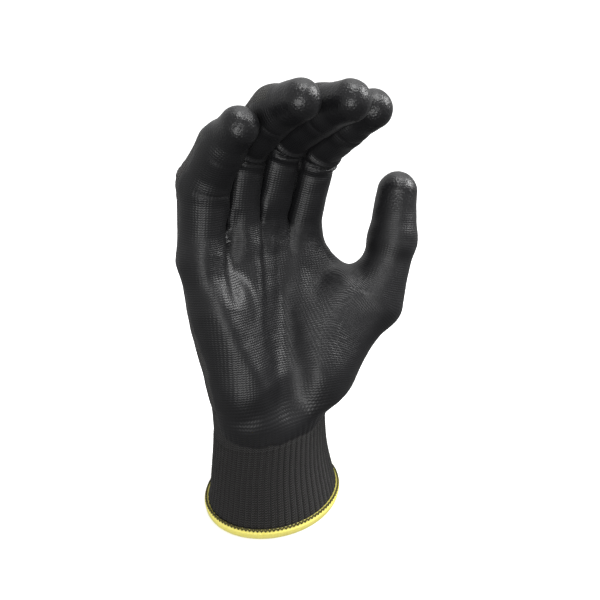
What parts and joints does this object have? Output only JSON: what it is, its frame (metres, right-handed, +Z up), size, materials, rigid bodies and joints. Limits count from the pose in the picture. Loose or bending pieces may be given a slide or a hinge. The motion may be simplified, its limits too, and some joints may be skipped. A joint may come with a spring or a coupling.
{
  "type": "cut resistant glove",
  "caption": "Right-hand knitted work glove with a coated palm, a ribbed elastic cuff and an overlocked hem, posed as worn, with bends at the wrist, fingers and thumb.",
  "frame": {"origin": "centre of the cuff opening, on the hem's lower face", "axes": "+Z up from the hem towards the fingers, -Y the palm side, +X the thumb side of a right hand"},
  "size_m": [0.1265, 0.0725, 0.2216],
  "materials": {
    "liner_knit": "matte plain knit of fine cut-resistant yarn, black and grey",
    "rib_knit": "matte 1x1 rib knit, black",
    "pu_coating": "thin polyurethane film, satin black, with the knit showing through it",
    "hem_thread": "textured polyester overlock thread, bright yellow",
    "elastic_yarn": "covered elastic yarn, off-white"
  },
  "bodies": {
    "cuff": {"hem_binding": "hem_thread", "hem_stitches": "hem_thread", "cuff_liner": "rib_knit", "cuff_elastic": "elastic_yarn"},
    "palm": {"palm_liner": "liner_knit", "palm_coating": "pu_coating"},
    "index_proximal": {"index_proximal_liner": "liner_knit", "index_proximal_coating": "pu_coating"},
    "index_middle": {"index_middle_liner": "liner_knit", "index_middle_coating": "pu_coating"},
    "index_distal": {"index_distal_liner": "liner_knit", "index_distal_coating": "pu_coating"},
    "middle_proximal": {"middle_proximal_liner": "liner_knit", "middle_proximal_coating": "pu_coating"},
    "middle_middle": {"middle_middle_liner": "liner_knit", "middle_middle_coating": "pu_coating"},
    "middle_distal": {"middle_distal_liner": "liner_knit", "middle_distal_coating": "pu_coating"},
    "ring_proximal": {"ring_proximal_liner": "liner_knit", "ring_proximal_coating": "pu_coating"},
    "ring_middle": {"ring_middle_liner": "liner_knit", "ring_middle_coating": "pu_coating"},
    "ring_distal": {"ring_distal_liner": "liner_knit", "ring_distal_coating": "pu_coating"},
    "little_proximal": {"little_proximal_liner": "liner_knit", "little_proximal_coating": "pu_coating"},
    "little_middle": {"little_middle_liner": "liner_knit", "little_middle_coating": "pu_coating"},
    "little_distal": {"little_distal_liner": "liner_knit", "little_distal_coating": "pu_coating"},
    "thumb_proximal": {"thumb_proximal_liner": "liner_knit", "thumb_proximal_coating": "pu_coating"},
    "thumb_distal": {"thumb_distal_liner": "liner_knit", "thumb_distal_coating": "pu_coating"}
  },
  "joints": [
    {"name": "wrist_bend", "type": "hinge", "parent": "cuff", "child": "palm", "pos_m": [0, 0, 0.056], "axis": [0.9811, 0.1239, -0.1488], "range_deg": [-20, 40]},
    {"name": "index_root_bend", "type": "hinge", "parent": "palm", "child": "index_proximal", "pos_m": [0.03562, 0.02964, 0.14831], "axis": [0.9803, 0.1216, -0.1553], "range_deg": [-20, 50]},
    {"name": "index_middle_bend", "type": "hinge", "parent": "index_proximal", "child": "index_middle", "pos_m": [0.04073, 0.02593, 0.17764], "axis": [0.9803, 0.1216, -0.1553], "range_deg": [-30, 45]},
    {"name": "index_end_bend", "type": "hinge", "parent": "index_middle", "child": "index_distal", "pos_m": [0.04582, 0.00775, 0.19552], "axis": [0.9803, 0.1216, -0.1553], "range_deg": [-16, 23.5]},
    {"name": "middle_root_bend", "type": "hinge", "parent": "palm", "child": "middle_proximal", "pos_m": [0.01543, 0.03003, 0.15399], "axis": [0.9796, 0.1193, -0.1619], "range_deg": [-20, 50]},
    {"name": "middle_middle_bend", "type": "hinge", "parent": "middle_proximal", "child": "middle_middle", "pos_m": [0.02141, 0.02596, 0.18721], "axis": [0.9796, 0.1193, -0.1619], "range_deg": [-38, 40]},
    {"name": "middle_end_bend", "type": "hinge", "parent": "middle_middle", "child": "middle_distal", "pos_m": [0.0272, 0.00242, 0.20488], "axis": [0.9796, 0.1193, -0.1619], "range_deg": [-20, 21]},
    {"name": "ring_root_bend", "type": "hinge", "parent": "palm", "child": "ring_proximal", "pos_m": [-0.00466, 0.026, 0.15584], "axis": [0.9825, 0.129, -0.134], "range_deg": [-20, 50]},
    {"name": "ring_middle_bend", "type": "hinge", "parent": "ring_proximal", "child": "ring_middle", "pos_m": [-0.0004, 0.02545, 0.18654], "axis": [0.9825, 0.129, -0.134], "range_deg": [-38, 40]},
    {"name": "ring_end_bend", "type": "hinge", "parent": "ring_middle", "child": "ring_distal", "pos_m": [0.0048, 0.00577, 0.20577], "axis": [0.9825, 0.129, -0.134], "range_deg": [-20, 21]},
    {"name": "little_root_bend", "type": "hinge", "parent": "palm", "child": "little_proximal", "pos_m": [-0.02492, 0.01885, 0.15344], "axis": [0.9831, 0.1313, -0.1274], "range_deg": [-20, 50]},
    {"name": "little_middle_bend", "type": "hinge", "parent": "little_proximal", "child": "little_middle", "pos_m": [-0.0224, 0.02017, 0.17424], "axis": [0.9831, 0.1313, -0.1274], "range_deg": [-25, 50]},
    {"name": "little_end_bend", "type": "hinge", "parent": "little_middle", "child": "little_distal", "pos_m": [-0.01873, 0.0104, 0.19247], "axis": [0.9831, 0.1313, -0.1274], "range_deg": [-13.5, 26]},
    {"name": "thumb_root_opening", "type": "hinge", "parent": "palm", "child": "thumb_proximal", "pos_m": [0.06078, -0.00415, 0.10382], "axis": [0.2378, 0.9387, -0.2496], "range_deg": [-22, 20]},
    {"name": "thumb_end_opening", "type": "hinge", "parent": "thumb_proximal", "child": "thumb_distal", "pos_m": [0.07189, 0.00089, 0.13355], "axis": [0.2378, 0.9387, -0.2496], "range_deg": [-28, 12]}
  ],
  "couplings": [
    {"joint": "index_end_bend", "follows": "index_middle_bend", "ratio": 0.5},
    {"joint": "middle_end_bend", "follows": "middle_middle_bend", "ratio": 0.5},
    {"joint": "ring_end_bend", "follows": "ring_middle_bend", "ratio": 0.5},
    {"joint": "little_end_bend", "follows": "little_middle_bend", "ratio": 0.5}
  ]
}
